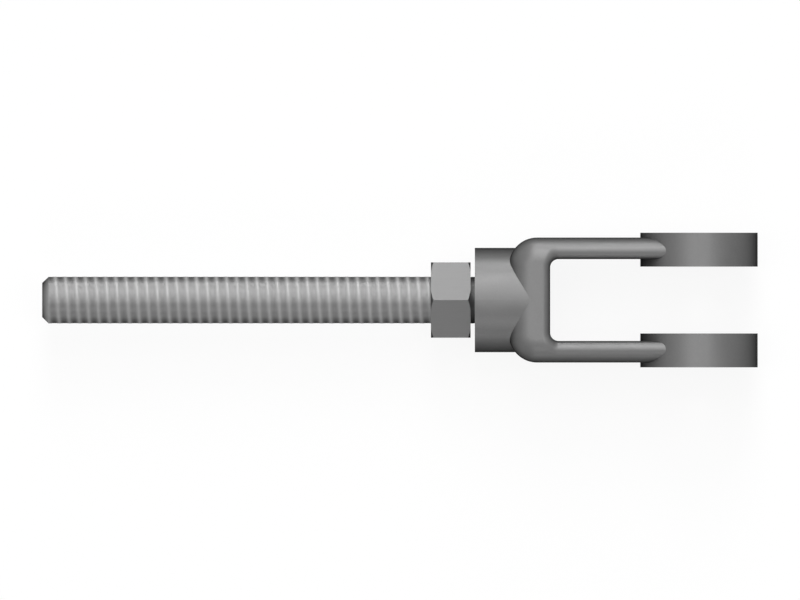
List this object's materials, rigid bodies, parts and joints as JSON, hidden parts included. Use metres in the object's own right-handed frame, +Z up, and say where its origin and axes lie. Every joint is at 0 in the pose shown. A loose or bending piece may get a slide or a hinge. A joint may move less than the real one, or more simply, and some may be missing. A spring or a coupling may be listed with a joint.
{
  "type": "tension rod clevis",
  "caption": "Forged fork end with two round ears and a cross pin hole, on a threaded tension rod with a hexagon lock nut.",
  "frame": {"origin": "centre of the pin hole, midway between the two ears", "axes": "+X along the rod towards the open end of the fork, +Y along the pin, +Z up with the fork lying on its side"},
  "size_m": [0.1803, 0.034, 0.0296],
  "materials": {
    "forged_steel": "plain forged steel, cleaned, dull",
    "rolled_thread_steel": "plain rolled steel, satin on the crests",
    "nut_steel": "plain machined steel, satin"
  },
  "bodies": {
    "clevis": {"clevis": "forged_steel"},
    "threaded_rod": {"threaded_rod": "rolled_thread_steel"},
    "lock_nut": {"lock_nut": "nut_steel"}
  },
  "joints": [
    {"name": "rod_turn", "type": "hinge", "parent": "clevis", "child": "threaded_rod", "pos_m": [-0.05648, 0, 0], "axis": [1, 0, 0], "continuous": true},
    {"name": "nut_travel", "type": "slide", "parent": "threaded_rod", "child": "lock_nut", "axis": [1, 0, 0], "range_m": [-0.096, 0.001]}
  ]
}
